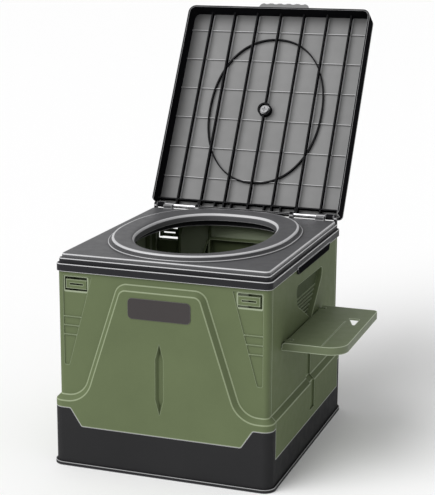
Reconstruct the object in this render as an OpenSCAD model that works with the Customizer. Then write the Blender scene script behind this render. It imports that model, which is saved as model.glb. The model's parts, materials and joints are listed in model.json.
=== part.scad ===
// Folding-box camping toilet: a fold-flat crate with a lift-off seat top.
// Origin: middle of the underside.  +X right side (side table), -Y front (badge), +Z up.

/* [Body] */
// Half width of the wall panels, over their outer faces
wall_x = 174; // [170:1:178]
// Half length of the wall panels, over their outer faces
wall_y = 199; // [196:1:203]
// Depth of a wall panel, from its outer face to the edge of its inner flanges
panel_t = 12; // [11:0.5:13]
// Thickness of the moulded skins
skin = 3.5; // [3:0.25:4]
// How far the lower part of each wall stands proud
proud = 8; // [7:0.5:8.5]
// Height of the top edges of the wall panels
wall_top = 326.5; // [320:0.5:330]
// Height of the belt bevel where it leaves the proud face
belt_z = 109; // [106:1:112]

/* [Base] */
// Height of the corner posts
post_z = 98; // [95:1:100]
// Height of the front ledge
front_ledge = 69; // [66:1:72]
// Height of the rear ledge
rear_ledge = 88; // [85:1:90]
// Height of the right ledge
right_ledge = 48; // [47:1:49]
// Height of the left ledge
left_ledge = 27; // [26:0.5:27.5]

/* [Seat and lid] */
// Half width of the seat opening
hole_x = 107; // [100:1:108]
// Half length of the seat opening
hole_y = 150; // [144:1:152]
// Half width of the raised seat ring, over its foot
ring_x = 151; // [149:1:154]
// Half length of the raised seat ring, over its foot
ring_y = 187; // [183:1:188]
// Angle that the lid opens from closed
lid_open = 120; // [100:1:121]

/* [Side table] */
// Height of the table top
table_z = 221; // [218:1:223]
// Front end of the table
table_front = -137; // [-142:1:-132]
// Rear end of the table
table_rear = 91; // [86:1:94]
// Reach of the table, from the middle of the body
table_x = 273; // [262:1:274]

/* [Hidden] */

$fn = 64;
eps = 0.01;
green = "#6b7658";
black = "#38383a";
grey = "#69696b";
steel = "#c8c8cc";

// base
base_x = wall_x + proud;             // outer half width of the base, flush with the proud zone
base_y = wall_y + proud;
corner_r = 8;                        // outer radius of the wall corners
floor_t = 3;
flange = 3;                          // the foot flange stands out by this
flange_h = 6;
side_end = wall_y - 16;              // half length of the side panels
post_y = side_end + 0.5;             // half distance between the corner posts
post_in = 133;                       // the post's shoulder slopes from here ...
post_out = 152;                      // ... to here
inner_x = wall_x - panel_t;          // inner faces of the ledges
inner_y = side_end + 2;
foot_at = [147, 167];
foot_r = 12;
foot_t = 1.5;

// panel hinges
rod_r = 2.5;
fit = 0.06;                          // running fit, radial
lug_r = 5.7;
lug_w = 24;
lug_at = [-110, 0, 110];
lug_gap = 0.4;
axis_up = 6;                         // height of a hinge axis above its ledge
ledge_gap = 0.3;
post_top = post_z + ledge_gap;       // lower edge of the panels over the posts
rod_half = side_end - 3;
end_rod_half = 127;

// belt
slope = 18.2;                        // lean of the belt's sides
belt_top = 307;
belt_ref = [77, 287];                // a point on the belt's side
belt_end = 160;                      // where the belt straightens before the corner

// groove in the side panels, and the badge
groove_y = [9, 33];
badge_x = 51.5;
badge_z = [256, 289];

// latches
latch_in = 124;
latch_out = 162;
latch_z = [288.5, 310.5];
slot = 3;
latch_t = 3;

// top frame
frame_x = wall_x + 3.2;
frame_y = wall_y + 3.2;
fit_wall = 0.4;                      // clearance of the skirt outside the walls
skirt_z = 319;
deck_z = 327.5;
deck_t = 4;
step_z = deck_z + deck_t;            // the skirt ends here, and the lip steps in
step_in = 4;
lip_z = 339.5;
seat_x = 171;
seat_y = 193;
seat_z = 345.5;
seat_gap = 0.6;
seat_t = 3;
ring_in = 4.5;                       // the ring is hollow up to this height above the seat plate
collar = 16;                         // the frame's opening is this much wider than the seat's
grip_y = [-57, 124];
grip_z = 309.5;

// hinge of the seat and the lid
axis = [199, 350];                   // y, z
ear_r = 4.5;
seat_ears = [134, 150];
lid_ears = [151, 165];
inner_posts = [85, 92];
outer_posts = [166, 171];

// lid, described closed
lid_x = 175;
lid_front = -197;
lid_rear = 196;
lid_top = 376;
lid_skin = 3;
lid_under = lid_top - lid_skin;
rim_t = 3;
rib_z = 361;
rib_t = 2.2;
rib_pitch = 45;
cross_first = 60.5;
cross_pitch = 59;
cross_t = 1.2;
cross_h = 3;
bead = [108, 143];
bead_h = 6;
bead_y = lid_rear - 198.5;
boss_z = lid_under - 4;              // the cover's boss ends here
web_z = boss_z - 2;                  // underside of the web that the screw's washer bears on
strip_w = 13;
cell = 31;                           // width of a cell of the strip along the hinge
tab_w = [58, 45];
tab_reach = 24;

// side table
pin_axis = [wall_x + 7.5, 214.5];    // x, z
table_h = 12.5;
table_wall = 3;
table_lug = 10;                      // width of a lug, and the lower y of each
table_lug_y = [table_front + 12.5, table_rear - 12.5 - table_lug];
table_slot = wall_x + 13.5;
step_x = 238;

// ---- shared outlines ----
function unit(v) = v / norm(v);
function fillet(p, q, s, r) = r <= 0 ? [q] :
    let (u = unit(p - q), v = unit(s - q), half = acos(u * v) / 2, n = 8,
        c = q + unit(u + v) * r / sin(half),
        a = q + u * r / tan(half) - c, b = q + v * r / tan(half) - c,
        a0 = atan2(a.y, a.x), da = (atan2(b.y, b.x) - a0 + 540) % 360 - 180)
    [for (i = [0:n]) c + r * [cos(a0 + da * i / n), sin(a0 + da * i / n)]];
function flat(v) = [v.x, v.y];
// an outline from corners [x, y, radius]
function rounded(c) = let (n = len(c))
    [for (i = [0:n - 1]) each fillet(flat(c[(i + n - 1) % n]), flat(c[i]), flat(c[(i + 1) % n]), c[i].z)];
function both_sides(c) = concat(c, [for (i = [len(c) - 1:-1:0]) [-c[i].x, c[i].y, c[i].z]]);
function power(v, e) = sign(v) * pow(abs(v), e);
// a full oval, slightly squarer than an ellipse in front, and by the given exponent at the rear
function oval(a, b, rear = 0.8) = [for (i = [0:95]) let (e = i < 48 ? rear : 0.93)
    [a * power(cos(i * 3.75), e), b * power(sin(i * 3.75), e)]];

module plate(w, d, r, h) {
    linear_extrude(h) {
        square([2 * (w - r), 2 * d], center = true);
        square([2 * w, 2 * (d - r)], center = true);
        for (x = [-1, 1], y = [-1, 1]) translate([x * (w - r), y * (d - r)]) circle(r);
    }
}
module block(a, b) { translate(a) cube(b - a); }
module x_rod(x0, x1, r) { translate([x0, 0, 0]) rotate([0, 90, 0]) cylinder(r = r, h = x1 - x0); }
module y_rod(y0, y1, r) { translate([0, y0, 0]) rotate([-90, 0, 0]) cylinder(r = r, h = y1 - y0); }
// an outline in x and z, extruded from y0 to y1
module upright(y0, y1) { translate([0, y1, 0]) rotate([90, 0, 0]) linear_extrude(y1 - y0) children(); }
// an outline in y and z, extruded from x0 to x1
module sideways(x0, x1) { translate([x0, 0, 0]) rotate([90, 0, 90]) linear_extrude(x1 - x0) children(); }
module ring2d(a, b, w, rear = 0.8) {
    difference() {
        polygon(oval(a + w, b + w, rear));
        polygon(oval(a, b, rear));
    }
}

// ---- base ----
module post_profile(ledge) {
    polygon(rounded(both_sides([[post_in, ledge, 4], [post_out, post_z, 4], [base_x + 9, post_z, 0],
        [base_x + 9, post_z + 20, 0]])));
}
module lugs_x(z) {
    for (x = lug_at) translate([x - lug_w / 2, 0, 0]) {
        translate([0, 0, z + axis_up]) x_rod(0, lug_w, lug_r);
        block([0, -lug_r, z - eps], [lug_w, lug_r, z + axis_up]);
    }
}
module lugs_y(z) {
    for (y = lug_at) translate([0, y - lug_w / 2, 0]) {
        translate([0, 0, z + axis_up]) y_rod(0, lug_w, lug_r);
        block([-lug_r, 0, z - eps], [lug_r, lug_w, z + axis_up]);
    }
}
axis_x = wall_x - panel_t / 2;       // hinge axes of the side panels
axis_y = wall_y - panel_t / 2;       // hinge axes of the front and rear panels
module base_tray() {
    rib = 2.5;
    cells = 7;
    color(black) difference() {
        union() {
            difference() {
                plate(base_x, base_y, corner_r + proud, post_z);
                // the pan, and the walls cut down to their ledges
                block([-inner_x, -inner_y, floor_t], [inner_x, inner_y, post_z + 1]);
                upright(-base_y - 1, -inner_y + 1) post_profile(front_ledge);
                upright(inner_y - 1, base_y + 1) post_profile(rear_ledge);
                block([inner_x - 1, -post_y, right_ledge], [base_x + 1, post_y, post_z + 1]);
                block([-base_x - 1, -post_y, left_ledge], [1 - inner_x, post_y, post_z + 1]);
            }
            plate(base_x + flange, base_y + flange, corner_r + proud + flange, flange_h);
            translate([0, -axis_y, 0]) lugs_x(front_ledge);
            translate([0, axis_y, 0]) lugs_x(rear_ledge);
            translate([axis_x, 0, 0]) lugs_y(right_ledge);
            translate([-axis_x, 0, 0]) lugs_y(left_ledge);
        }
        // the walls are hollow below, between ribs
        for (i = [0:cells - 1]) {
            w = 2 * (post_in + 6) / cells;
            x = -post_in - 6 + i * w;
            block([x + rib, skin - base_y, -1], [x + w, -inner_y - skin, front_ledge - skin]);
            block([x + rib, inner_y + skin, -1], [x + w, base_y - skin, rear_ledge - skin]);
            l = 2 * (side_end - 6) / cells;
            y = 6 - side_end + i * l;
            block([inner_x + skin, y + rib, -1], [base_x - skin, y + l, right_ledge - skin]);
            block([skin - base_x, y + rib, -1], [-inner_x - skin, y + l, left_ledge - skin]);
        }
        for (x = [-1, 1], y = [-1, 1]) scale([x, y, 1])
            block([post_out + 4, inner_y + skin, -1], [base_x - 8, base_y - 8, post_z - skin]);
        for (x = [-1, 1], y = [-1, 1]) translate([x * foot_at.x, y * foot_at.y, -1])
            cylinder(r = foot_r, h = foot_t + 1);
        translate([0, -axis_y, front_ledge + axis_up]) x_rod(-base_x + 30, base_x - 30, rod_r);
        translate([0, axis_y, rear_ledge + axis_up]) x_rod(-base_x + 30, base_x - 30, rod_r);
        translate([axis_x, 0, right_ledge + axis_up]) y_rod(-side_end, side_end, rod_r);
        translate([-axis_x, 0, left_ledge + axis_up]) y_rod(-side_end, side_end, rod_r);
    }
}
module base_feet() {
    color("#202022") for (x = [-1, 1], y = [-1, 1]) translate([x * foot_at.x, y * foot_at.y, 0])
        cylinder(r = foot_r, h = foot_t);
}
module front_hinge_rod() {
    color(steel) translate([0, -axis_y, front_ledge + axis_up]) x_rod(-end_rod_half, end_rod_half, rod_r);
}
module rear_hinge_rod() {
    color(steel) translate([0, axis_y, rear_ledge + axis_up]) x_rod(-end_rod_half, end_rod_half, rod_r);
}
module left_hinge_rod() {
    color(steel) translate([-axis_x, 0, left_ledge + axis_up]) y_rod(-rod_half, rod_half, rod_r);
}
module right_hinge_rod() {
    color(steel) translate([axis_x, 0, right_ledge + axis_up]) y_rod(-rod_half, rod_half, rod_r);
}

// ---- front and rear panels, drawn as a front panel ----
// the proud zone's outline: t is the inset of the belt, b of the bottom edges
function zone(ledge, t, b) = let (
        side = function (z) belt_ref.x + (belt_ref.y - z) * tan(slope) - t / cos(slope),
        low = belt_z + proud - t)
    rounded(both_sides([[side(belt_top - t), belt_top - t, 20 - t], [side(low), low, 36 + t],
        [belt_end + 5 - b, low, 0], [belt_end + 5 - b, post_top + b, 0],
        [post_out + b / 2, post_top + b, 4], [post_in - b / 2, ledge + b, 4]]));
module zone_solid(ledge) {
    steps = 4;
    d = proud / steps;
    for (k = [0:steps - 1])
        upright(-wall_y - (k + 1) * d, -wall_y - k * d) polygon(zone(ledge, (k + 0.5) * d, 0));
}
// the belt where it runs level round the body
module belt_band(z0) {
    translate([0, 0, z0]) plate(base_x, base_y, corner_r + proud, belt_z - z0);
    hull() {
        translate([0, 0, belt_z - eps]) plate(base_x, base_y, corner_r + proud, eps, $fn = 32);
        translate([0, 0, belt_z + proud]) plate(wall_x, wall_y, corner_r, eps, $fn = 32);
    }
}
module latch_triangle() {
    polygon(rounded([[latch_in - 7, latch_z[1], 0], [latch_out + 1, latch_z[1], 0], [latch_out + 1, 168, 2.8],
        [latch_out - 6, 168, 2.8]]));
}
module end_panel(ledge) {
    inner = wall_y - panel_t;
    z0 = ledge + ledge_gap;
    difference() {
        union() {
            intersection() {
                difference() {
                    translate([0, 0, post_top]) plate(wall_x, wall_y, corner_r, wall_top - post_top);
                    plate(wall_x - skin, wall_y - skin, corner_r - skin, 400);
                }
                block([-wall_x, -wall_y, 0], [wall_x, -post_y, 400]);
            }
            // the proud zone and the belt round the corners, hollow behind
            difference() {
                union() {
                    zone_solid(z0);
                    intersection() {
                        belt_band(post_top);
                        for (s = [-1, 1]) scale([s, 1, 1])
                            block([belt_end, -base_y, 0], [base_x, -post_y, 400]);
                    }
                }
                block([-wall_x + skin, skin - wall_y, 0], [wall_x - skin, 0, 400]);
            }
            upright(-wall_y, -wall_y + skin) polygon(zone(z0, 2, 0));
            upright(-base_y + skin, -inner) difference() {
                polygon(zone(z0, 8, 0));
                polygon(zone(z0, 12, 3));
            }
            // flanges, ribs and the beam that carries the hinge rod
            for (s = [-1, 1]) scale([s, 1, 1]) {
                block([inner_x, -post_y - 3, post_top], [wall_x - 1, -post_y, wall_top]);
                block([60, -wall_y + 1, ledge + 10], [63, -inner, wall_top]);
                block([latch_in - 5, -wall_y + 1, belt_z], [latch_in - 2, -inner, wall_top]);
            }
            block([-belt_end, -wall_y + 1, wall_top - 3], [belt_end, -inner, wall_top]);
            block([-post_in + 3, -base_y + 1, z0], [post_in - 3, -inner, ledge + 2 * axis_up]);
            block([-11, -base_y + 1, 98], [11, -wall_y + 2, 226]);
        }
        // behind the proud face the skin is open to the inside
        upright(-base_y + skin, -wall_y + skin + 1) difference() {
            polygon(zone(z0, 12, 3));
            translate([-11, 98]) square([22, 128]);
            translate([-post_in - 9, 0]) square([2 * post_in + 18, ledge + 2 * axis_up]);
            for (s = [-1, 1]) translate([61.5 * s - 1.5, 0]) square([3, 400]);
        }
        // bores and room for the lugs
        translate([0, -axis_y, ledge + axis_up]) x_rod(-end_rod_half - 0.5, end_rod_half + 0.5, rod_r + fit);
        for (x = lug_at) block([x - lug_w / 2 - lug_gap, -wall_y - 0.6, ledge - 1],
            [x + lug_w / 2 + lug_gap, -inner + 1, ledge + axis_up + lug_r + lug_gap]);
        // latch windows, the tapering marks below them, and the pencil-shaped recess
        for (s = [-1, 1]) scale([s, 1, 1]) {
            block([latch_in, -wall_y - 1, latch_z[0]], [latch_out, -inner + 1, latch_z[1]]);
            upright(-wall_y - 1, -wall_y + 0.8) difference() {
                latch_triangle();
                for (z = [217, 232, 246.5]) translate([100, z - 1]) square([80, 2]);
            }
        }
        upright(-base_y - 1, -base_y + 5)
            polygon([[0, 104.5], [6.5, 128], [6.5, 194], [0, 219], [-6.5, 194], [-6.5, 128]]);
        children();
    }
}
module badge_shape(h) {
    upright(-base_y - 1, -base_y + h)
        polygon(rounded(both_sides([[badge_x, badge_z[0], 7], [badge_x, badge_z[1], 7]])));
}
module front_panel() { color(green) end_panel(front_ledge) badge_shape(0.8); }
module rear_panel() { color(green) rotate(180) end_panel(rear_ledge) block([0, 0, 0], [eps, eps, eps]); }
module badge_plate() {
    color("#3a3636") intersection() {
        badge_shape(0.8);
        block([-60, -base_y - 0.9, 200], [60, -base_y + 0.8, 300]);
    }
}

// ---- latches: a sprung tongue in each window ----
module latch() {
    z0 = latch_z[0] + slot + 0.8;
    z1 = latch_z[1] - slot - 0.8;
    root = [latch_in + 0.3 + latch_t / 2, -wall_y + latch_t / 2];
    color(green) difference() {
        union() {
            // its root is round about the line that it flexes on
            translate([root.x, root.y, z0]) cylinder(d = latch_t, h = z1 - z0);
            block([root.x, -wall_y, z0], [latch_out - slot, -wall_y + latch_t, z1]);
            block([latch_out - slot - 5, -wall_y, z0], [latch_out - slot, -wall_y + 6.5, z1]);
        }
        // a gap between two prongs, which join at the free end
        translate([0, 0, (z0 + z1) / 2])
            block([latch_in + 6, -wall_y - 1, -1.5], [latch_out - slot - 6, -wall_y + latch_t + 1, 1.5]);
    }
}
module front_right_latch() { latch(); }
module front_left_latch() { mirror([1, 0, 0]) latch(); }
module rear_right_latch() { mirror([0, 1, 0]) latch(); }
module rear_left_latch() { rotate(180) latch(); }

// ---- side panels, drawn as a right panel ----
module hand_shape(grow) {
    translate([18, 258]) scale(1 + grow / 75) translate([-18, -258])
        polygon(rounded([[-59, 290, 12], [99, 288, 8], [95, 270, 8], [34, 213, 6], [-50, 256, 12]]));
}
module groove_shape() { translate([groove_y[0], 62]) square([groove_y[1] - groove_y[0], 143]); }
module side_panel(ledge) {
    z0 = ledge + ledge_gap;
    ax = [axis_x, ledge + axis_up];
    hollow_y = side_end - 3;
    hollow_z = ax.y + axis_up + 4;
    difference() {
        union() {
            difference() {
                union() {
                    block([inner_x, -side_end, ax.y], [wall_x, side_end, wall_top]);
                    intersection() {
                        belt_band(z0);
                        block([axis_x, -side_end, z0], [base_x, side_end, 400]);
                    }
                }
                // hollow behind the skin
                block([inner_x - 1, -hollow_y, hollow_z], [wall_x - skin, hollow_y, wall_top - 3]);
                block([wall_x - skin - 1, -hollow_y, hollow_z], [base_x - skin, hollow_y, belt_z - 1]);
            }
            // round inner edge that turns clear of the ledge
            translate([ax.x, 0, ax.y]) y_rod(-side_end, side_end, lug_r);
            block([ax.x, -side_end, z0], [base_x, side_end, ax.y + axis_up]);
            // ribs, the back of the hand hole and the back of the groove
            for (y = [-150, -90, 90, 150]) block([inner_x, y - 1.5, ax.y], [wall_x - 1, y + 1.5, wall_top]);
            sideways(inner_x, wall_x - 1) hand_shape(4);
            block([wall_x - skin - 3, groove_y[0] - 4, belt_z - 4], [wall_x - 1, groove_y[1] + 4, 208]);
            block([base_x - skin - 3, groove_y[0] - 4, ax.y], [base_x - 1, groove_y[1] + 4, belt_z - 2]);
        }
        sideways(inner_x + 3, wall_x + 1) hand_shape(0);
        sideways(wall_x - 3, wall_x + 1) intersection() {
            groove_shape();
            translate([0, belt_z]) square([100, 200]);
        }
        sideways(base_x - 3, base_x + 1) intersection() {
            groove_shape();
            square([100, belt_z + 1]);
        }
        sideways(wall_x - 3, base_x + 1)
            translate([groove_y[0], belt_z]) square([groove_y[1] - groove_y[0], proud + 2]);
        // bore and room for the lugs, open to the inside and below
        translate([ax.x, 0, ax.y]) y_rod(-side_end - 1, side_end + 1, rod_r + fit);
        for (y = lug_at) translate([ax.x, 0, ax.y]) {
            y_rod(y - lug_w / 2 - lug_gap, y + lug_w / 2 + lug_gap, lug_r + lug_gap);
            block([-20, y - lug_w / 2 - lug_gap, -20], [lug_r + lug_gap, y + lug_w / 2 + lug_gap, 0]);
            block([-20, y - lug_w / 2 - lug_gap, -20], [0, y + lug_w / 2 + lug_gap, lug_r + lug_gap]);
        }
    }
}
// lugs that carry the side table, near its two ends
module table_lugs() {
    for (y = table_lug_y) difference() {
        union() {
            block([wall_x - 1, y, pin_axis.y - lug_r], [pin_axis.x, y + table_lug, pin_axis.y + lug_r]);
            translate([pin_axis.x, 0, pin_axis.y]) y_rod(y, y + table_lug, lug_r);
        }
        translate([pin_axis.x, 0, pin_axis.y]) y_rod(y - 1, y + table_lug + 1, rod_r);
    }
}
module right_panel() {
    color(green) {
        side_panel(right_ledge);
        table_lugs();
    }
}
module left_panel() { color(green) mirror([1, 0, 0]) side_panel(left_ledge); }

// ---- side table ----
module table_outline(inset) {
    i = inset;
    polygon(rounded([[wall_x + 0.4 + i, table_front + i, 0], [table_x - i, table_front + i, 30 - i],
        [table_x - i, table_rear - i, 8 - i], [wall_x + 0.4 + i, table_rear - i, 0]]));
}
module side_table() {
    bottom = table_z - table_h;
    color(green) difference() {
        translate([0, 0, bottom]) linear_extrude(table_h) table_outline(0);
        // hollow underneath
        translate([0, 0, bottom - 1]) linear_extrude(table_h - table_wall + 1) intersection() {
            table_outline(table_wall);
            translate([table_slot + table_wall, -200]) square([200, 400]);
        }
        // room for the lugs
        for (y = table_lug_y)
            block([wall_x - 1, y - 0.5, bottom - 1], [table_slot, y + table_lug + 0.5, table_z + 1]);
        // the upper inner edge is round about the pins
        difference() {
            block([wall_x - 1, table_front - 1, pin_axis.y - 2], [pin_axis.x, table_rear + 1, table_z + 1]);
            translate([pin_axis.x, 0, pin_axis.y])
                y_rod(table_front - 2, table_rear + 2, pin_axis.x - wall_x - 0.8);
        }
        translate([pin_axis.x, 0, pin_axis.y])
            y_rod(table_front + table_wall, table_rear - table_wall, rod_r + fit);
        // a groove in the top, and the finger hole
        block([step_x - 1.2, table_front + 5, table_z - 0.8], [step_x, 12, table_z + 1]);
        translate([0, 0, bottom - 1]) linear_extrude(table_h + 2)
            polygon(rounded([[239, 30, 2], [257, 30, 2], [257, -15, 2]]));
    }
}
module table_hinge_pins() {
    color(steel) translate([pin_axis.x, 0, pin_axis.y]) {
        y_rod(table_front + table_wall + 0.5, table_lug_y[0] + table_lug, rod_r);
        y_rod(table_lug_y[1], table_rear - table_wall - 0.5, rod_r);
    }
}

// ---- top frame ----
module rear_posts(range) {
    for (s = [-1, 1]) scale([s, 1, 1]) {
        translate([0, axis.x, axis.y]) x_rod(range[0], range[1], ear_r);
        block([range[0], axis.x - ear_r, step_z - 1], [range[1], frame_y, axis.y]);
        block([range[0], frame_y - 1, axis.y - 6], [range[1], axis.x + ear_r, axis.y]);
    }
}
module top_frame() {
    hole = [hole_x + collar, hole_y + collar];
    color(black) difference() {
        union() {
            difference() {
                union() {
                    translate([0, 0, skirt_z]) plate(frame_x, frame_y, corner_r + 3.2, step_z - skirt_z);
                    // the lip round the seat
                    translate([0, 0, step_z - eps])
                        plate(frame_x - step_in, frame_y - step_in, corner_r - 0.8, lip_z - step_z + eps);
                }
                translate([0, 0, skirt_z - 1])
                    plate(wall_x + fit_wall, wall_y + fit_wall, corner_r + fit_wall, deck_z - skirt_z + 1);
                translate([0, 0, step_z]) plate(seat_x + seat_gap, seat_y + seat_gap, 8, 20);
            }
            // collar that the bag hangs over
            translate([0, 0, deck_z]) linear_extrude(338.3 - deck_z) ring2d(hole.x, hole.y, 4);
            // grips hanging outside both side walls
            for (s = [-1, 1]) scale([s, 1, 1])
                sideways(wall_x + fit_wall, frame_x + 0.8)
                    polygon(rounded([[grip_y[0], grip_z, 4], [grip_y[1], grip_z, 4],
                        [grip_y[1] + 6, skirt_z + 2, 0], [grip_y[0] - 6, skirt_z + 2, 0]]));
            rear_posts(inner_posts);
            rear_posts(outer_posts);
        }
        translate([0, 0, skirt_z]) linear_extrude(30) polygon(oval(hole.x, hole.y));
        for (s = [-1, 1]) scale([s, 1, 1]) translate([0, axis.x, axis.y])
            x_rod(inner_posts[0] + 2, outer_posts[1] - 1, rod_r);
    }
}
module lid_hinge_rods() {
    color(steel) for (s = [-1, 1]) scale([s, 1, 1]) translate([0, axis.x, axis.y])
        x_rod(inner_posts[0] + 2, outer_posts[1] - 1, rod_r);
}

// ---- seat ----
module seat_plate() {
    deck = step_z + 0.4;
    // inset of the outer edge, inset of the inner edge, height of each step of the ring
    steps = [[0, 0, 2.5], [6, 0.8, 5.6], [6.9, 3, 7.4], [8.8, 8, 8.7], [12, 14, 9.3]];
    color(grey) difference() {
        union() {
            difference() {
                translate([0, 0, deck]) plate(seat_x, seat_y, 8, seat_z - deck);
                translate([0, 0, deck - 1])
                    plate(seat_x - seat_t, seat_y - seat_t, 6, seat_z - seat_t - deck + 1);
            }
            for (s = steps) translate([0, 0, seat_z - 1]) linear_extrude(s[2] + 1) difference() {
                polygon(oval(ring_x - s[0], ring_y - s[0]));
                polygon(oval(hole_x + s[1], hole_y + s[1]));
            }
            // short lip below the inner edge
            translate([0, 0, seat_z - 6]) linear_extrude(6) ring2d(hole_x, hole_y, seat_t);
            for (s = [-1, 1]) scale([s, 1, 1]) {
                translate([0, axis.x, axis.y]) x_rod(seat_ears[0], seat_ears[1], ear_r);
                block([seat_ears[0], seat_y - 6, seat_z - 1], [seat_ears[1], axis.x, axis.y + 2]);
            }
        }
        translate([0, 0, deck - 1]) linear_extrude(30) polygon(oval(hole_x, hole_y));
        translate([0, 0, deck]) linear_extrude(seat_z + ring_in - deck) difference() {
            polygon(oval(ring_x - 10, ring_y - 10));
            polygon(oval(hole_x + seat_t + 1, hole_y + seat_t + 1));
        }
        for (s = [-1, 1]) scale([s, 1, 1]) translate([0, axis.x, axis.y])
            x_rod(seat_ears[0] - 1, seat_ears[1] + 1, rod_r + fit);
    }
}
module seat_seal() {
    bottom = 338.5;
    color("#222224") translate([0, 0, bottom]) linear_extrude(seat_z + ring_in - bottom)
        ring2d(hole_x + collar - 1, hole_y + collar - 1, 6);
}

// ---- lid, drawn closed and turned open about the hinge ----
module opened() {
    translate([0, axis.x, axis.y]) rotate([-lid_open, 0, 0]) translate([0, -axis.x, -axis.y]) children();
}
module lid_outline(i) {
    polygon(rounded([[lid_x - i, lid_front + i, 14 - i], [lid_x - i, lid_rear - i, 8 - i],
        [i - lid_x, lid_rear - i, 8 - i], [i - lid_x, lid_front + i, 14 - i]]));
}
// deep rim on three sides, shallow at the hinge, with the hinge ears
module lid_rim() {
    rim = lip_z + 0.5;
    color(black) opened() difference() {
        union() {
            difference() {
                translate([0, 0, rim]) linear_extrude(lid_under - rim) difference() {
                    lid_outline(0);
                    lid_outline(rim_t);
                }
                block([-lid_x + rim_t, lid_rear - 20, rim - 1], [lid_x - rim_t, lid_rear + 1, rib_z]);
            }
            for (s = [-1, 1]) scale([s, 1, 1]) {
                translate([0, axis.x, axis.y]) x_rod(lid_ears[0], lid_ears[1], ear_r);
                block([lid_ears[0], lid_rear - rim_t, axis.y], [lid_ears[1], axis.x, boss_z - 4]);
            }
        }
        translate([0, axis.x, axis.y]) x_rod(-lid_ears[1] - 1, lid_ears[1] + 1, rod_r + fit);
    }
}
module lid_grid() {
    low = lid_front + rim_t;
    high = lid_rear - rim_t;
    wide = lid_x - rim_t;
    color(black) opened() difference() {
        union() {
            for (i = [-3:3])
                block([i * rib_pitch - rib_t / 2, low, rib_z], [i * rib_pitch + rib_t / 2, high, lid_under]);
            for (i = [0:5])
                translate([0, lid_rear - cross_first - i * cross_pitch, 0])
                    block([-wide, -cross_t / 2, lid_under - cross_h], [wide, cross_t / 2, lid_under]);
            translate([0, bead_y, lid_under - bead_h]) linear_extrude(bead_h)
                ring2d(bead.x - rib_t, bead.y - rib_t, rib_t, rear = 0.93);
            // strip of small cells along the hinge
            block([-wide, lid_rear - strip_w - 2, rib_z], [wide, lid_rear - strip_w, lid_under]);
            for (i = [-3:3])
                block([i * cell - 1, lid_rear - strip_w - 1, rib_z], [i * cell + 1, high, lid_under]);
            translate([0, bead_y, rib_z]) cylinder(r = 12.5, h = lid_under - rib_z);
        }
        translate([0, bead_y, rib_z - 1]) cylinder(r = 10, h = web_z - rib_z + 1);
        translate([0, bead_y, rib_z]) cylinder(r = rod_r + 0.1, h = 30);
        translate([0, bead_y, boss_z]) cylinder(r = 6.2, h = 20);
    }
}
module lid_cover() {
    color(grey) opened() difference() {
        union() {
            translate([0, 0, lid_under]) linear_extrude(lid_skin) lid_outline(0);
            // scalloped finger tab on the free edge
            translate([0, 0, lid_under]) linear_extrude(lid_skin) difference() {
                polygon(rounded(both_sides([[tab_w[0], lid_front + eps, 0],
                    [tab_w[1], lid_front - tab_reach, 10]])));
                for (i = [-2:2]) translate([i * 17, lid_front - tab_reach - 9]) circle(10.5);
            }
            translate([0, bead_y, boss_z]) cylinder(r = 6, h = 5);
        }
        translate([0, bead_y, boss_z - 1]) cylinder(r = rod_r, h = 7);
    }
}
module lid_screw() {
    color(steel) opened() translate([0, bead_y, 0]) difference() {
        union() {
            translate([0, 0, web_z - 4]) cylinder(r = 7, h = 3);
            translate([0, 0, web_z - 1 - eps]) cylinder(r = rod_r, h = lid_top - web_z);
        }
        for (a = [0, 90]) rotate(a) translate([-4.5, -0.8, web_z - 5]) cube([9, 1.6, 2.6]);
    }
}
module lid_screw_washer() {
    color(steel) opened() translate([0, bead_y, web_z - 1]) difference() {
        cylinder(r = 9.5, h = 1);
        translate([0, 0, -1]) cylinder(r = rod_r + 0.1, h = 3);
    }
}

base_tray();
base_feet();
front_panel();
rear_panel();
left_panel();
right_panel();
front_hinge_rod();
rear_hinge_rod();
left_hinge_rod();
right_hinge_rod();
front_left_latch();
front_right_latch();
rear_left_latch();
rear_right_latch();
badge_plate();
top_frame();
seat_plate();
seat_seal();
lid_hinge_rods();
lid_rim();
lid_grid();
lid_cover();
lid_screw();
lid_screw_washer();
side_table();
table_hinge_pins();
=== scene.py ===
"""Looks of the folding-box camping toilet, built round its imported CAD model."""
import json
import math

import bmesh
import bpy
from mathutils import Matrix, Vector


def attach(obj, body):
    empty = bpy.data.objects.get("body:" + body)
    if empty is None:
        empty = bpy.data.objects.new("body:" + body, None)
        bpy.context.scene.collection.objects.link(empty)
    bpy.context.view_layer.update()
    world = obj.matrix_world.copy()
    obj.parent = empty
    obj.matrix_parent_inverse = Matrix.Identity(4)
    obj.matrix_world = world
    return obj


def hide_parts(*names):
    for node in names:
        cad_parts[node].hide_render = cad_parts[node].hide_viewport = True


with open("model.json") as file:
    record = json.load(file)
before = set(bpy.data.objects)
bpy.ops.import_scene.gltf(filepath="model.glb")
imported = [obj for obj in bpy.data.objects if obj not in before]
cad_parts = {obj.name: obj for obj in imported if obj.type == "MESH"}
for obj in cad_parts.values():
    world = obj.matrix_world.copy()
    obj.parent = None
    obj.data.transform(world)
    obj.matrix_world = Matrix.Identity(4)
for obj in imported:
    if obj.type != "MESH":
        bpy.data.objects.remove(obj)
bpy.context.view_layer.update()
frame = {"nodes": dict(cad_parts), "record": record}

MM = 0.001

# ---------------------------------------------------------------- sizes, in mm
WALL_X, WALL_Y = 174.0, 199.0        # half width and half length over the green walls
WALL_TOP = 326.5
PROUD = 8.0                          # how far the walls' lower zone stands out
CORNER_R = 8.0                       # the walls' upright corners
SIDE_END = WALL_Y - 16               # half length of a side panel
SKIN = 3.0                           # thickness of the walls
GAP = 0.3                            # between a wall's foot and the base's wall below it
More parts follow.
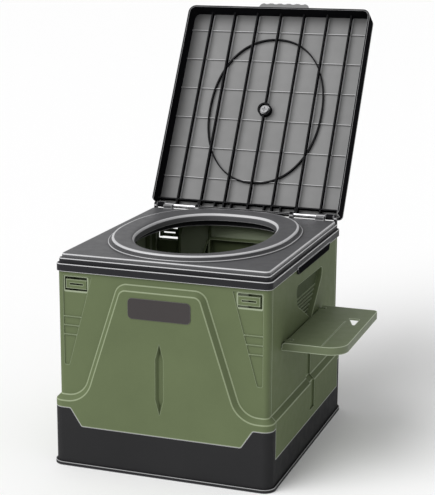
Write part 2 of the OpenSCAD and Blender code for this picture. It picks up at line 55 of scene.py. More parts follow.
# height of the base's wall below each panel
LEDGE = {"front_panel": 69, "rear_panel": 88, "right_panel": 48, "left_panel": 27}
POST_Z = 98.3                        # top of the base's corner posts, with the gap
BELT_Z = 109.0                       # where the belt's bevel leaves the proud face
HAND_DEPTH = 8.7                     # depth of the pockets round the hand holes
AXIS = (199.0, 350.0)                # y and z of the lid's and the seat's hinge
EAR_R = 4.5                          # radius of the hinge's barrels
SEAT_EAR = (134, 150)                # start and end of the seat's ears, along x
FRAME_EARS = ((85, 92), (166, 171))  # the same of the frame's ears
HOLE = (107.0, 150.0)                # half width and half length of the seat opening
RING = (151.0, 187.0)                # the same of the raised ring, over its foot
SEAT_Z = 345.5                       # top of the seat's plate
FRAME_OUT = 3.2                      # how far the frame's skirt stands out from the walls
DECK_Z = 327.5                       # underside of the frame's deck
LID_TURN = math.radians(120)         # how far the lid is open
LID_UNDER = 373.0                    # underside of the lid's cover when it is shut
RIB_PITCH = 45.0                     # the lid's long ribs
RIB_SPAN = (-192.0, 181.0)           # where they start and end, along y
BOSS_SPAN = (-16.0, 11.0)            # the screw's boss between them
CROSS_Z = 369.5                      # the lid's low cross ribs lie over this height when it is shut


# ---------------------------------------------------------------- outlines
def corner_arc(p, q, s, r, n=6):
    """The corner q of a path p-q-s, rounded to radius r."""
    u = (p - q).normalized()
    v = (s - q).normalized()
    half = math.acos(max(-1.0, min(1.0, u.dot(v)))) / 2
    r = max(r, 0.05)
    centre = q + (u + v).normalized() * r / math.sin(half)
    a = q + u * r / math.tan(half) - centre
    b = q + v * r / math.tan(half) - centre
    a0 = math.atan2(a.y, a.x)
    turn = (math.atan2(b.y, b.x) - a0 + 3 * math.pi) % (2 * math.pi) - math.pi
    steps = [a0 + turn * i / n for i in range(n + 1)]
    return [centre + r * Vector((math.cos(t), math.sin(t))) for t in steps]


def rounded(corners, inset=0.0, n=6):
    """A closed outline from corners (x, y, radius), drawn inset (or, below zero, outset)."""
    pts = [Vector(c[:2]) for c in corners]
    count = len(pts)
    area = sum(pts[i - 1].cross(pts[i]) for i in range(count))
    way = 1 if area > 0 else -1
    moved, radii = [], []
    for i, q in enumerate(pts):
        e0 = (q - pts[i - 1]).normalized()
        e1 = (pts[(i + 1) % count] - q).normalized()
        n0 = Vector((-e0.y, e0.x)) * way
        n1 = Vector((-e1.y, e1.x)) * way
        moved.append(q + (n0 + n1) / (1 + n0.dot(n1)) * inset)
        convex = e0.cross(e1) * way > 0
        radii.append(corners[i][2] - inset if convex else corners[i][2] + inset)
    out = []
    for i, q in enumerate(moved):
        out += corner_arc(moved[i - 1], q, moved[(i + 1) % count], radii[i], n)
    return out


def rectangle(w, d, r):
    """The corners of a rectangle from its half width and half depth."""
    return [(w, -d, r), (w, d, r), (-w, d, r), (-w, -d, r)]


def oval(a, b, n=144):
    """A full oval, a little squarer than an ellipse in front, and more so at the rear."""
    def bend(v, power):
        return math.copysign(abs(v) ** power, v)
    points = []
    for i in range(n):
        turn = 2 * math.pi * i / n
        power = 0.8 if i < n // 2 else 0.93
        points.append(Vector((a * bend(math.cos(turn), power), b * bend(math.sin(turn), power))))
    return points


# ---------------------------------------------------------------- shells
class Shell:
    """One mesh in mm, made of loops of points that are bridged and filled."""

    def __init__(self):
        self.bm = bmesh.new()
        self.look = 0                # the material that new faces get

    def loop(self, pts):
        return [self.bm.verts.new(p) for p in pts]

    def bridge(self, a, b, closed=True):
        n = len(a)
        for i in range(n if closed else n - 1):
            j = (i + 1) % n
            self.bm.faces.new((a[i], a[j], b[j], b[i])).material_index = self.look

    def chain(self, loops, closed=True, bright=()):
        """Loops bridged in turn; the strips listed in bright get the second material."""
        for i, (a, b) in enumerate(zip(loops, loops[1:])):
            self.look = 1 if i in bright else 0
            self.bridge(a, b, closed)
        self.look = 0

    def repaint(self, before, look):
        """Gives every face that was made since before another material."""
        for face in set(self.bm.faces) - before:
            face.material_index = look

    def fill(self, *loops, normal=(0, 0, 1)):
        """A flat face bounded by the first loop, with the others as holes."""
        edges = []
        for ring in loops:
            for a, b in zip(ring, ring[1:] + ring[:1]):
                edges.append(self.bm.edges.get((a, b)) or self.bm.edges.new((a, b)))
        bmesh.ops.triangle_fill(self.bm, use_beauty=True, use_dissolve=False, edges=edges, normal=normal)

    def stack(self, outline, levels, place, bright=()):
        """Loops of an outline at (inset, height), bridged; place turns (x, y, height) into a point."""
        loops = [self.loop([place(p.x, p.y, h) for p in outline(i)]) for i, h in levels]
        self.chain(loops, bright=bright)
        return loops[0], loops[-1]

    def slab(self, outline, low, high, place, ease=0.6):
        """An outline pulled up from low to high, with eased edges at both ends."""
        k = ease * 0.3
        first, last = self.stack(outline, [(ease, low), (k, low + k), (0, low + ease), (0, high - ease),
                                           (k, high - k), (ease, high)], place)
        self.bm.faces.new(first)
        self.bm.faces.new(last)

    def cuboid(self, low, high, r=0.6):
        """A box with rounded edges."""
        made = bmesh.ops.create_cube(self.bm, size=1.0)["verts"]
        for v in made:
            v.co = Vector([(high[i] if v.co[i] > 0 else low[i]) for i in range(3)])
        edges = list({e for v in made for e in v.link_edges})
        bmesh.ops.bevel(self.bm, geom=edges, offset=r, segments=2, profile=0.5, affect="EDGES")

    def rod(self, start, end, r, ease=0.5, n=32):
        """A round bar with eased ends."""
        start, end = Vector(start), Vector(end)
        along = (end - start).normalized()
        across = along.orthogonal().normalized()
        other = along.cross(across)
        rings = []
        for p, k in ((start, r - ease), (start + along * ease, r), (end - along * ease, r), (end, r - ease)):
            rings.append(self.loop([p + k * (math.cos(2 * math.pi * i / n) * across
                                             + math.sin(2 * math.pi * i / n) * other) for i in range(n)]))
        self.chain(rings)
        self.bm.faces.new(rings[0])
        self.bm.faces.new(rings[-1])

    def cad(self, node, cuts):
        """Adds a CAD node after cuts at (point, normal), each of which drops what lies behind it."""
        part = bmesh.new()
        part.from_mesh(frame["nodes"][node].data)
        part.transform(Matrix.Scale(1 / MM, 4))
        bmesh.ops.remove_doubles(part, verts=part.verts, dist=0.002)
        for point, normal in cuts:
            everything = part.verts[:] + part.edges[:] + part.faces[:]
            cut = bmesh.ops.bisect_plane(part, geom=everything, dist=1e-4, plane_co=point, plane_no=normal,
                                         clear_inner=True)
            rim = [e for e in cut["geom_cut"] if isinstance(e, bmesh.types.BMEdge)]
            bmesh.ops.triangle_fill(part, use_beauty=True, use_dissolve=False, edges=rim)
        mesh = bpy.data.meshes.new("part")
        part.to_mesh(mesh)
        part.free()
        self.bm.from_mesh(mesh)
        bpy.data.meshes.remove(mesh)

    def done(self, name, outward=None):
        """The finished object, in metres; an open sheet needs to be told which way is out."""
        bmesh.ops.recalc_face_normals(self.bm, faces=self.bm.faces)
        if outward:
            lean = sum((f.normal * f.calc_area() for f in self.bm.faces), Vector())
            if lean.dot(Vector(outward)) < 0:
                bmesh.ops.reverse_faces(self.bm, faces=self.bm.faces)
        self.bm.transform(Matrix.Scale(MM, 4))
        mesh = bpy.data.meshes.new(name)
        self.bm.to_mesh(mesh)
        self.bm.free()
        obj = bpy.data.objects.new(name, mesh)
        bpy.context.scene.collection.objects.link(obj)
        return obj


def sorted_box(a, b):
    """The lowest and the highest corner of the box between two corners."""
    return tuple(map(min, a, b)), tuple(map(max, a, b))


def upright(x, y, h):
    """Outline in x and y, height along z."""
    return (x, y, h)


def sideways(x, y, h):
    """Outline in y and z, height along x."""
    return (h, x, y)


def lengthways(x, y, h):
    """Outline in x and z, height along y."""
    return (x, h, y)


def smooth(obj, angle=35):
    obj.data.polygons.foreach_set("use_smooth", [True] * len(obj.data.polygons))
    obj.data.set_sharp_from_angle(angle=math.radians(angle))
    weighted = obj.modifiers.new("weighted", "WEIGHTED_NORMAL")
    weighted.keep_sharp = True
    weighted.weight = 80


def eased(obj, width, angle=32, segments=2):
    """Small rounded edges, as moulding leaves them."""
    bevel = obj.modifiers.new("eased", "BEVEL")
    bevel.width = width * MM
    bevel.segments = segments
    bevel.limit_method = "ANGLE"
    bevel.angle_limit = math.radians(angle)
    bevel.use_clamp_overlap = True
    bevel.miter_outer = "MITER_ARC"
    smooth(obj, angle)


def thick(obj, inward, ease=0.5):
    """Gives an open sheet its wall thickness and eases its rim."""
    solid = obj.modifiers.new("thick", "SOLIDIFY")
    solid.thickness = inward * MM
    solid.offset = -1
    solid.use_even_offset = True
    bevel = obj.modifiers.new("rim", "BEVEL")
    bevel.width = ease * MM
    bevel.segments = 2
    bevel.limit_method = "ANGLE"
    bevel.angle_limit = math.radians(60)
    smooth(obj)


def from_node(node, width):
    """A finished copy of a CAD node: joined faces and eased edges."""
    bm = bmesh.new()
    bm.from_mesh(frame["nodes"][node].data)
    bmesh.ops.remove_doubles(bm, verts=bm.verts, dist=2e-6)
    bmesh.ops.join_triangles(bm, faces=bm.faces, angle_face_threshold=math.radians(1),
                             angle_shape_threshold=math.pi)
    mesh = bpy.data.meshes.new("skin_" + node)
    bm.to_mesh(mesh)
    bm.free()
    obj = bpy.data.objects.new("skin_" + node, mesh)
    bpy.context.scene.collection.objects.link(obj)
    eased(obj, width)
    return obj


def lid_height(point):
    """The height in mm that a point of the open lid has when the lid is shut."""
    y, z = point.y / MM - AXIS[0], point.z / MM - AXIS[1]
    return AXIS[1] + math.sin(LID_TURN) * y + math.cos(LID_TURN) * z


def body_of(node):
    """The moving body that a CAD node belongs to."""
    return next(b for b, ns in frame["record"]["behaviour"]["bodies"].items() if node in ns)


SLOTS = {s["node"]: s["material_slot"] for s in frame["record"]["subparts"]}


def stands_for(obj, node, *looks):
    """Lets an object stand for a CAD node, in the material of the node's slot or in the given ones."""
    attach(obj, body_of(node))
    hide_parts(node)
    for look in looks or (SLOTS[node],):
        obj.data.materials.append(MATERIALS[look])


# ---------------------------------------------------------------- materials
GRAIN = 1.1                          # size of the moulded grain, mm
CREASE_SHADE = 7.0                         # how far the painted shade reaches out of inner corners and creases, mm
MOTTLE = 0.05                        # strength of the soft shade changes


def plastic(name, colour, rough, grain, edge, highlight_strength, line, gloss):
    """Moulded plastic: fine leathery grain, soft random tone changes, a painted highlight in the edge colour
    along outer edges and painted shade in creases and inner corners.
    """
    mat = bpy.data.materials.new(name)
    mat.use_nodes = True
    nodes, links = mat.node_tree.nodes, mat.node_tree.links
    shader = nodes["Principled BSDF"]
    shader.inputs["Specular IOR Level"].default_value = gloss
    where = nodes.new("ShaderNodeTexCoord")

    def noise(scale, detail, roughness):
        n = nodes.new("ShaderNodeTexNoise")
        n.inputs["Scale"].default_value = scale
        n.inputs["Detail"].default_value = detail
        n.inputs["Roughness"].default_value = roughness
        links.new(where.outputs["Object"], n.inputs["Vector"])
        return n.outputs["Fac"]

    def ramp(source, start, end, low, high):
        r = nodes.new("ShaderNodeMapRange")
        for socket, value in (("From Min", start), ("From Max", end), ("To Min", low), ("To Max", high)):
            r.inputs[socket].default_value = value
        links.new(source, r.inputs["Value"])
        return r.outputs["Result"]

    def closeness(distance, inside):
        """How open the surroundings are within a distance: outside the surface, or inside it."""
        ao = nodes.new("ShaderNodeAmbientOcclusion")
        ao.samples = 12
        ao.inside = inside
        ao.only_local = True
        ao.inputs["Distance"].default_value = distance * MM
        return ao.outputs["AO"]

    def product(a, b):
        m = nodes.new("ShaderNodeMath")
        m.operation = "MULTIPLY"
        links.new(a, m.inputs[0])
        links.new(b, m.inputs[1])
        return m.outputs["Value"]

    tint = nodes.new("ShaderNodeHueSaturation")
    tint.inputs["Color"].default_value = (*colour, 1)
    # painted shade: the colour darkens where other surfaces close in, in creases and inner corners; the noise
    # adds random tone
    shade = product(ramp(noise(9, 4, 0.6), 0.3, 0.7, 1 - MOTTLE, 1 + MOTTLE),
                    ramp(closeness(CREASE_SHADE, False), 0.45, 0.95, 0.6, 1))
    links.new(shade, tint.inputs["Value"])
    # painted highlight: the colour turns to the edge colour along outer edges
    edge_highlight = nodes.new("ShaderNodeMix")
    edge_highlight.data_type = "RGBA"
    links.new(ramp(closeness(line, True), 0.62, 0.97, highlight_strength, 0), edge_highlight.inputs["Factor"])
    links.new(tint.outputs["Color"], edge_highlight.inputs[6])
    edge_highlight.inputs[7].default_value = (*edge, 1)
    links.new(edge_highlight.outputs[2], shader.inputs["Base Color"])
    links.new(ramp(noise(60, 3, 0.55), 0.3, 0.7, rough - 0.05, rough + 0.05), shader.inputs["Roughness"])
    cells = nodes.new("ShaderNodeTexVoronoi")
    cells.feature = "SMOOTH_F1"
    cells.inputs["Scale"].default_value = 1 / (GRAIN * MM)
    links.new(where.outputs["Object"], cells.inputs["Vector"])
    bump = nodes.new("ShaderNodeBump")
    bump.inputs["Strength"].default_value = grain
    bump.inputs["Distance"].default_value = 0.00025
    links.new(cells.outputs["Distance"], bump.inputs["Height"])
    links.new(bump.outputs["Normal"], shader.inputs["Normal"])
    return mat


def metal(name, colour, rough):
    """Plated steel with drawing marks along x."""
    mat = bpy.data.materials.new(name)
    mat.use_nodes = True
    nodes, links = mat.node_tree.nodes, mat.node_tree.links
    shader = nodes["Principled BSDF"]
    shader.inputs["Base Color"].default_value = (*colour, 1)
    shader.inputs["Metallic"].default_value = 1.0
    where = nodes.new("ShaderNodeTexCoord")
    stretch = nodes.new("ShaderNodeMapping")
    stretch.inputs["Scale"].default_value = (40, 900, 900)
    marks = nodes.new("ShaderNodeTexNoise")
    marks.inputs["Scale"].default_value = 1.0
    links.new(where.outputs["Object"], stretch.inputs["Vector"])
    links.new(stretch.outputs["Vector"], marks.inputs["Vector"])
    level = nodes.new("ShaderNodeMapRange")
    level.inputs["To Min"].default_value = rough - 0.08
    level.inputs["To Max"].default_value = rough + 0.1
    links.new(marks.outputs["Fac"], level.inputs["Value"])
    links.new(level.outputs["Result"], shader.inputs["Roughness"])
    return mat


PALE = (0.75, 0.75, 0.76)            # painted highlight along the edges of the black and grey plastics
LIGHT_GREEN = (0.50, 0.56, 0.42)     # and of the green one
# name, colour, roughness, grain, edge colour of the painted highlight, strength of that painted highlight,
# its line width in mm, gloss
PLASTICS = [
    ("panel_green", (0.112, 0.139, 0.071), 0.55, 0.35, LIGHT_GREEN, 0.5, 1.3, 0.05),
    ("table_green", (0.112, 0.139, 0.071), 0.5, 0.3, LIGHT_GREEN, 0.7, 1.5, 0.45),
    # a pale green: painted highlight on strips along the belts' and the pockets' edges
    ("highlight_green", (0.22, 0.26, 0.155), 0.5, 0.1, LIGHT_GREEN, 0.2, 0.8, 0.3),
    # a darker green: painted shade on the floors of the hand pockets
    ("pocket_shade_green", (0.060, 0.076, 0.040), 0.7, 0.5, LIGHT_GREEN, 0.25, 0.8, 0.05),
    ("base_black", (0.024, 0.024, 0.025), 0.5, 0.25, PALE, 0.6, 1.4, 0.03),
    ("frame_black", (0.022, 0.022, 0.024), 0.42, 0.2, PALE, 0.6, 1.4, 0.05),
    # a pale grey: painted highlight on strips along the seat's, the frame's and the lid ribs' edges
    ("highlight_grey", (0.52, 0.52, 0.53), 0.35, 0.05, PALE, 0.3, 0.8, 0.4),
    ("seat_grey", (0.084, 0.084, 0.088), 0.4, 0.2, PALE, 0.5, 1.6, 0.3),
    ("lid_black", (0.007, 0.007, 0.008), 0.5, 0.15, PALE, 0.5, 0.8, 0.0),
    # near black: painted shade standing for the shaded flanks of the lid's long ribs
    ("rib_black", (0.005, 0.005, 0.006), 0.5, 0.15, PALE, 0.12, 0.5, 0.0),
    ("lid_grey", (0.185, 0.185, 0.185), 0.5, 0.2, PALE, 0.6, 1.0, 0.3),
    ("badge_dark", (0.036, 0.031, 0.031), 0.35, 0.05, PALE, 0.2, 0.5, 0.3),
    ("rubber_black", (0.016, 0.016, 0.017), 0.75, 0.3, PALE, 0.1, 0.8, 0.2),
]
MATERIALS = {p[0]: plastic(*p) for p in PLASTICS}
MATERIALS["steel"] = metal("steel", (0.8, 0.8, 0.82), 0.38)
MATERIALS["screw_dark"] = metal("screw_dark", (0.2, 0.2, 0.205), 0.5)


# ---------------------------------------------------------------- front and rear panels
# The belt's bevel: inset from the outline at the wall, and height over the wall's face.
BELT = [(-1.4, 0.0), (-0.4, 0.12), (0.7, 0.85), (7.2, 7.2), (8.1, 7.85), (9.3, 8.0)]
FLAT = WALL_X - CORNER_R
ARC = 10                             # steps round a wall corner
ARC_LEN = CORNER_R * math.pi / 2
RETURN = WALL_Y - CORNER_R - SIDE_END - 0.5      # how far the sheet runs on along the side
WRAP = [FLAT + ARC_LEN * i / ARC for i in range(1, ARC + 1)] + [FLAT + ARC_LEN + RETURN]


def bell(t):
    """The belt's path at inset t, from right to left, in x and z."""
    lean = math.radians(18.2)

    def side(z):
        return 77 + (287 - z) * math.tan(lean) - t / math.cos(lean)

    low, top = BELT_Z + PROUD - t, 307 - t
    right = [Vector((FLAT, low)), Vector((side(low), low)), Vector((side(top), top)), Vector((0, top))]
    path = [right[0]] + corner_arc(right[0], right[1], right[2], 36 + t, 14)
    path += corner_arc(right[1], right[2], right[3], 20 - t, 10)
    left = [Vector((-p.x, p.y)) for p in reversed(path)]
    return path + left


def wrapped(s, z, d):
    """A point of the sheet: s runs along the face and round the corners, d stands out from the wall."""
    way = math.copysign(1, s)
    over = abs(s) - FLAT
    if over <= 0:
        return (s, -WALL_Y - d, z)
    turn = min(over / ARC_LEN, 1) * math.pi / 2
    r = CORNER_R + d
    x = FLAT + r * math.sin(turn)
    y = -(WALL_Y - CORNER_R) - r * math.cos(turn) + max(over - ARC_LEN, 0)
    return (way * x, y, z)


def mark_side(z):
    """The sloping inner edge of a tapering mark, in x."""
    return 156 - (z - 168) * 39 / 143


def end_panel(name, rear):
    """The front or the rear panel: a sheet round both corners, and the parts behind it."""
    ledge = LEDGE[name] + GAP
    sheet = Shell()

    # the belt, from the right end to the left end, with painted highlight lines along both its edges
    paths = []
    for t, d in BELT:
        z = BELT_Z + PROUD - t
        right = [(s, z, d) for s in reversed(WRAP)]
        left = [(-s, z, d) for s in WRAP]
        paths.append(sheet.loop([wrapped(*p) for p in right + [(q.x, q.y, d) for q in bell(t)] + left]))
    sheet.chain(paths, closed=False, bright=(0, 1, 3, 4))
    n = len(WRAP)
    wall_path, proud_path = paths[0], paths[-1]

    # the plain corners above and below the belt
    foot = []
    for way, cut in ((1, slice(None, n + 1)), (-1, slice(-n - 1, None))):
        spots = list(reversed(WRAP)) + [FLAT]
        if way < 0:
            spots = [-s for s in reversed(spots)]
        top = sheet.loop([wrapped(s, WALL_TOP, 0) for s in spots])
        sheet.bridge(wall_path[cut], top, closed=False)
        low = sheet.loop([wrapped(s, POST_Z, PROUD) for s in spots])
        sheet.bridge(proud_path[cut], low, closed=False)
        foot.append((top, low))

    # upper face, with the tapering marks and the latch windows in them
    marks = []
    for way in (1, -1):
        corners = [(115.5, 313, 1.5), (164.5, 313, 2.5), (164.5, 166.5, 3.2), (156, 166.5, 3.2)]
        corners = [(way * x, z, r) for x, z, r in corners]
        if way < 0:
            corners.reverse()
        rings = [sheet.loop([wrapped(p.x, p.y, d) for p in rounded(corners, i)])
                 for i, d in ((0, 0), (0.25, -0.3), (0.9, -1.3), (1.2, -1.5))]
        sheet.chain(rings)
        marks.append(rings[0])
        window = [(way * x, z, 1.2) for x, z in ((124, 288.5), (162, 288.5), (162, 310.5), (124, 310.5))]
        if way < 0:
            window.reverse()
        hole = [sheet.loop([wrapped(p.x, p.y, d) for p in rounded(window, i)])
                for i, d in ((-0.5, -1.5), (-0.1, -1.7), (0, -2.2))]
        sheet.chain(hole)
        sheet.fill(rings[-1], hole[0], normal=(0, -1, 0))
    inner_path = wall_path[n:len(wall_path) - n]
    sheet.fill([foot[0][0][-1]] + inner_path + [foot[1][0][0]], *marks, normal=(0, -1, 0))

    # lower face, with the pencil-shaped recess
    def pencil(grow, tip, d):
        k = 6.5 + grow
        return sheet.loop([wrapped(x, z, d) for x, z in (
            (0, 104.5 - tip), (k, 128), (k, 194), (0, 219 + tip), (-k, 194), (-k, 128))])

    rings = [pencil(0.4, 1.0, PROUD), pencil(0, 0, PROUD - 0.4), pencil(-3.4, -14, PROUD - 5)]
    sheet.chain(rings)
    sheet.fill(rings[-1], normal=(0, -1, 0))
    corners = ((0, ledge), (133, ledge), (152, POST_Z), (FLAT, POST_Z))
    base, low, high, end = (Vector(c) for c in corners)
    foot_line = corner_arc(base, low, high, 4) + corner_arc(low, high, end, 4)
    right = sheet.loop([wrapped(p.x, p.y, PROUD) for p in foot_line])
    left = sheet.loop([wrapped(-p.x, p.y, PROUD) for p in reversed(foot_line)])
    lower = proud_path[n:len(proud_path) - n] + [foot[1][1][0]] + left + right + [foot[0][1][-1]]
    sheet.fill(lower, rings[0], normal=(0, -1, 0))
    if rear:
        sheet.bm.transform(Matrix.Rotation(math.pi, 4, "Z"))
    skin = sheet.done("skin_" + name, (0, 1 if rear else -1, 0))
    thick(skin, SKIN)

    # the raised bars of the marks, and what lies behind the skin
    back = Shell()
    for way in (1, -1):
        for z in (217, 232, 246.5):
            low, high = sorted((way * (mark_side(z) - 0.5), way * 164.2))
            back.cuboid((low, -WALL_Y - 0.3, z - 1.1), (high, -WALL_Y + 2, z + 1.1), 0.7)
    if rear:
        back.bm.transform(Matrix.Rotation(math.pi, 4, "Z"))
    way = 1 if rear else -1
    edge_x, edge_y = WALL_X - SKIN - 0.2, WALL_Y - SKIN - 0.2
    back.cad(name, [((0, way * edge_y, 0), (0, -way, 0)),
                    ((edge_x, 0, 0), (-1, 0, 0)), ((-edge_x, 0, 0), (1, 0, 0))])
    back = back.done("back_" + name)
    smooth(back)
    stands_for(skin, name, "panel_green", "highlight_green")
    stands_for(back, name)


# ---------------------------------------------------------------- side panels
def side_panel(name, way):
    """A side panel: a sheet with the belt, the groove and the hand pocket, and the parts behind it."""
    sheet = Shell()
    z0 = LEDGE[name] + GAP
    groove = 3
    belt = [(BELT_Z + PROUD - t, d) for t, d in reversed(BELT)]
    rows = [(z0, PROUD), (61.6, PROUD), (62.4, PROUD)] + belt + [(204.6, 0), (205.4, 0)]
    columns = [(-SIDE_END, 0), (8.6, 0), (9.4, groove), (32.6, groove), (33.4, 0), (SIDE_END, 0)]
    grid = []
    for z, d in rows:
        inside = 62 < z < 205
        grid.append(sheet.loop([sideways(y, z, WALL_X + d - (g if inside else 0)) for y, g in columns]))
    # the strips along the belt's edges get the second material, a painted highlight
    sheet.chain(grid, closed=False, bright=(3, 4, 6, 7))

    # the pocket round the hand hole, with a painted highlight on its rim and painted shade on its floor
    hand = [(-59, 290, 12), (99, 288, 8), (95, 270, 8), (34, 213, 6), (-50, 256, 12)]
    rings = [sheet.loop([sideways(p.x, p.y, WALL_X + d) for p in rounded(hand, i, 10)])
             for i, d in ((-0.6, 0), (0.1, -0.3), (0.6, -1.2), (1.6, -7.4), (2.4, -8.4), (3.6, -HAND_DEPTH))]
    sheet.chain(rings, bright=(0, 1))
    # the pocket's floor gets the third material, a painted shade
    before = set(sheet.bm.faces)
    sheet.fill(rings[-1], normal=(1, 0, 0))
    sheet.repaint(before, 2)
    top = sheet.loop([sideways(SIDE_END, WALL_TOP, WALL_X), sideways(-SIDE_END, WALL_TOP, WALL_X)])
    sheet.fill(grid[-1] + top, rings[0], normal=(1, 0, 0))
    if way < 0:
        sheet.bm.transform(Matrix.Scale(-1, 4, (1, 0, 0)))
    skin = sheet.done("skin_" + name, (way, 0, 0))
    thick(skin, SKIN)

    # what lies behind the skin, the table's lugs and the knobs on the pocket's floor
    back = Shell()
    back.cad(name, [((way * (WALL_X - SKIN - 0.2), 0, 0), (-way, 0, 0))])
    if way > 0:
        lug = [(WALL_X - 3, 208.8, 0.1), (187.2, 208.8, 5.6), (187.2, 220.2, 5.6), (WALL_X - 3, 220.2, 0.1)]
        for y in (-124.5, 68.5):
            back.slab(lambda i: rounded(lug, i, 10), y, y + 10, lengthways)
    floor, knob, step = WALL_X - HAND_DEPTH, 3, 6.5
    for row in range(7):
        z = 219 + step * row
        y = 34 - (z - 213) * 84 / 43 + 8
        while y < 30 + (z - 213) * 1.07:
            near, far = (way * (floor - 1), y, z), (way * (floor + 1.6), y + knob, z + knob)
            back.cuboid(*sorted_box(near, far), 0.8)
            y += step
    back = back.done("back_" + name)
    smooth(back)
    stands_for(skin, name, "panel_green", "highlight_green", "pocket_shade_green")
    stands_for(back, name)


# ---------------------------------------------------------------- seat and frame
def ring(shell, size, offset, z):
    """An oval loop of the seat, offset from the opening or from the ring's foot."""
    return shell.loop([(p.x, p.y, z) for p in oval(size[0] + offset, size[1] + offset)])


def plan(w, d, r):
    """A rounded rectangle as a function of its inset."""
    return lambda i: rounded(rectangle(w, d, r), i, 8)


def seat():
    """The seat's plate with its lip, the ring in two tiers, and the two ears of the hinge."""
    shell = Shell()
    edge = plan(171, 193, 8)
    # the strips (4, 5) get the second material, a painted highlight along the plate's outer top edge
    first, last = shell.stack(edge, [(3, 342.5), (3, 332.3), (0.5, 331.9), (0, 332.4), (0, 343.8), (0.5, 345),
                                     (1.8, SEAT_Z)], upright, (4, 5))
    outside = [(0.7, SEAT_Z), (0.15, 345.7), (0, 346.3), (-0.1, 347.4), (-0.5, 347.9), (-1.3, 348.1),
               (-5, 348.1), (-5.7, 348.4), (-6, 349.1), (-6.05, 352.4), (-6.3, 353.4), (-7, 354.2),
               (-8.2, 354.6), (-10, 354.7), (-13, 354.7)]
    inside = [(15, 354.1), (10, 353.5), (6.5, 352.9), (3.6, 351.9), (1.6, 350.4), (0.5, 348.4), (0.1, 346),
              (0, 340.2), (0.5, 339.5), (2.5, 339.5), (3, 340.2), (3, 342.5), (4, 342.5), (4, 350)]
    rings = [ring(shell, RING, *p) for p in outside] + [ring(shell, HOLE, *p) for p in inside]
    rings += [ring(shell, RING, *p) for p in ((-10, 350), (-10, 342.5))]
    # the strips listed get the second material, a painted highlight along the ring's and the opening's edges
    shell.chain(rings, bright=(3, 4, 9, 10, 11, 12, 18, 19))
    shell.fill(last, rings[0])
    shell.fill(first, rings[-1])
    for way in (-1, 1):
        low, high = sorted(way * x for x in SEAT_EAR)
        shell.cuboid((low, 187, 343), (high, AXIS[0], 352), 0.8)
        shell.rod((low, *AXIS), (high, *AXIS), EAR_R)
    obj = shell.done("skin_seat_plate")
    smooth(obj)
    stands_for(obj, "seat_plate", "seat_grey", "highlight_grey")


def top_frame():
    """The frame with its stepped skirt, the pocket for the seat, the collar, the grips and the ears."""
    shell = Shell()
    outer = plan(WALL_X + FRAME_OUT, WALL_Y + FRAME_OUT, CORNER_R + FRAME_OUT)
    levels = [(2.8, DECK_Z), (2.8, 319.6), (2.3, 319), (0.6, 319), (0.15, 319.2), (0, 319.7), (0, 330.4),
              (0.25, 331.1), (0.9, 331.5), (3.4, 331.5), (3.9, 331.7), (4, 332.2), (4, 338.3), (4.25, 339.1),
              (4.9, 339.5)]
    # the strips listed get the second material, a painted highlight along the skirt's edges
    first, last = shell.stack(outer, levels, upright, (3, 4, 6, 7, 12, 13))
    pocket = plan(171.6, 193.6, 8.6)
    pocket_top, pocket_low = shell.stack(pocket, [(-0.4, 339.5), (0, 339.1), (0, 331.5)], upright)
    levels = [(20, 331.5), (20, 337.6), (19.4, 338.3), (16.6, 338.3), (16, 337.6), (16, DECK_Z)]
    collar = [ring(shell, HOLE, *p) for p in levels]
    shell.chain(collar)
    shell.fill(last, pocket_top)
    shell.fill(pocket_low, collar[0])
    shell.fill(first, collar[-1])
    before = set(shell.bm.faces)
    for way in (-1, 1):
        low, high = sorted((way * 174.4, way * 178))
        grip = [(-57, 309.5, 4), (124, 309.5, 4), (130, 322, 0.5), (-63, 322, 0.5)]
        shell.slab(lambda i: rounded(grip, i), low, high, sideways, 0.8)
        for ear in FRAME_EARS:
            low, high = sorted(way * x for x in ear)
            shell.rod((low, *AXIS), (high, *AXIS), EAR_R)
            shell.cuboid((low, AXIS[0] - EAR_R, 330), (high, WALL_Y + FRAME_OUT, AXIS[1]), 0.6)
    shell.repaint(before, 2)
    obj = shell.done("skin_top_frame")
    smooth(obj)
    stands_for(obj, "top_frame", "frame_black", "highlight_grey", "lid_black")


def rib_feet():
    """The fillets along one side of the lid's long ribs, in a pale grey that is a painted highlight."""
    feet = Shell()
    for i in range(-3, 4):
        x = i * RIB_PITCH
        for low, high in [RIB_SPAN] if i else [(RIB_SPAN[0], BOSS_SPAN[0]), (BOSS_SPAN[1], RIB_SPAN[1])]:
            feet.cuboid((x + 1, low, LID_UNDER - 1.2), (x + 2.8, high, LID_UNDER + 0.2), 0.25)
    axis = Vector((0, *AXIS))
    feet.bm.transform(Matrix.Translation(-axis))
    feet.bm.transform(Matrix.Rotation(-LID_TURN, 4, "X"))
    feet.bm.transform(Matrix.Translation(axis))
    feet = feet.done("feet_lid_grid")
    smooth(feet)
    stands_for(feet, "lid_grid", "highlight_grey")


# ---------------------------------------------------------------- the pieces
end_panel("front_panel", False)
end_panel("rear_panel", True)
side_panel("right_panel", 1)
side_panel("left_panel", -1)
seat()
top_frame()
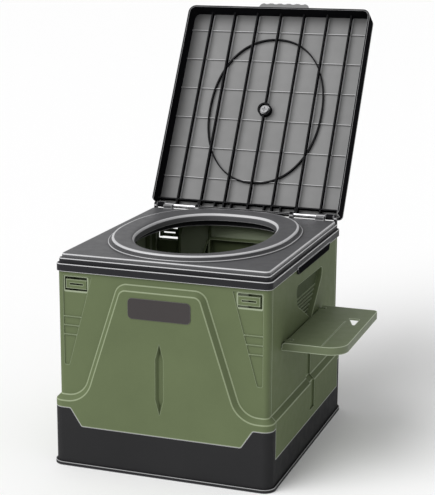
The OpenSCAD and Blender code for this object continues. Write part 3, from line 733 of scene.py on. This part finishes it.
# how far the edges of the other nodes are eased, and the looks of those that differ from their slot
EASE = {"base_tray": 0.9, "front_left_latch": 0.5, "front_right_latch": 0.5, "rear_left_latch": 0.5,
        "rear_right_latch": 0.5, "badge_plate": 0.5, "seat_seal": 0.5, "lid_rim": 0.7, "lid_grid": 0.4,
        "lid_cover": 0.7, "lid_screw": 0.3, "lid_screw_washer": 0.25, "side_table": 0.9, "base_feet": 0.3,
        "front_hinge_rod": 0.3, "rear_hinge_rod": 0.3, "left_hinge_rod": 0.3, "right_hinge_rod": 0.3,
        "lid_hinge_rods": 0.3, "table_hinge_pins": 0.3}
LOOKS = {"lid_grid": ("rib_black", "lid_grey"), "side_table": ("table_green",)}
for node, width in EASE.items():
    skin = from_node(node, width)
    stands_for(skin, node, *LOOKS.get(node, ()))
    # the long ribs get the near-black painted shade, the low cross ribs the cover's grey
    if node == "lid_grid":
        for face in skin.data.polygons:
            low = min(lid_height(skin.data.vertices[i].co) for i in face.vertices)
            face.material_index = 1 if low > CROSS_Z else 0
rib_feet()


# ---------------------------------------------------------------- floor, light and camera
def studio():
    """A pale floor, a white sky and one wide soft light from the front left."""
    floor = Shell()
    reach = 60000
    corners = ((-1, -1), (1, -1), (1, 1), (-1, 1))
    floor.bm.faces.new(floor.loop([(x * reach, y * reach, 0) for x, y in corners]))
    floor = floor.done("floor")
    mat = bpy.data.materials.new("floor_pale")
    mat.use_nodes = True
    shader = mat.node_tree.nodes["Principled BSDF"]
    shader.inputs["Base Color"].default_value = (0.93, 0.93, 0.93, 1)
    shader.inputs["Roughness"].default_value = 0.9
    floor.data.materials.append(mat)

    world = bpy.data.worlds.new("studio")
    world.use_nodes = True
    world.node_tree.nodes["Background"].inputs["Color"].default_value = (1, 1, 1, 1)
    world.node_tree.nodes["Background"].inputs["Strength"].default_value = 0.56
    bpy.context.scene.world = world

    light = bpy.data.lights.new("key", "SUN")
    light.energy = 2.5
    light.angle = math.radians(50)
    key = bpy.data.objects.new("key", light)
    key.rotation_euler = Vector((-0.45, -0.6, 0.66)).to_track_quat("Z", "Y").to_euler()
    bpy.context.scene.collection.objects.link(key)


def camera():
    """The photographed view."""
    place = Vector((752.4, -2063.4, 844.4)) * MM
    yaw, pitch, roll = (math.radians(a) for a in (19.52, 13.27, 0.28))
    right = Vector((math.cos(yaw), math.sin(yaw), 0))
    level = Vector((-math.sin(yaw), math.cos(yaw), 0))
    ahead = level * math.cos(pitch) - Vector((0, 0, 1)) * math.sin(pitch)
    up = level * math.sin(pitch) + Vector((0, 0, 1)) * math.cos(pitch)
    side = right * math.cos(roll) + up * math.sin(roll)
    top = up * math.cos(roll) - right * math.sin(roll)
    data = bpy.data.cameras.new("camera")
    data.sensor_width = 36
    data.lens = 99.3018
    data.clip_end = 150
    obj = bpy.data.objects.new("camera", data)
    turn = Matrix((side, top, -ahead)).transposed().to_4x4()
    obj.matrix_world = Matrix.Translation(place) @ turn
    bpy.context.scene.collection.objects.link(obj)
    bpy.context.scene.camera = obj


studio()
camera()
bpy.context.scene.view_settings.view_transform = "Standard"
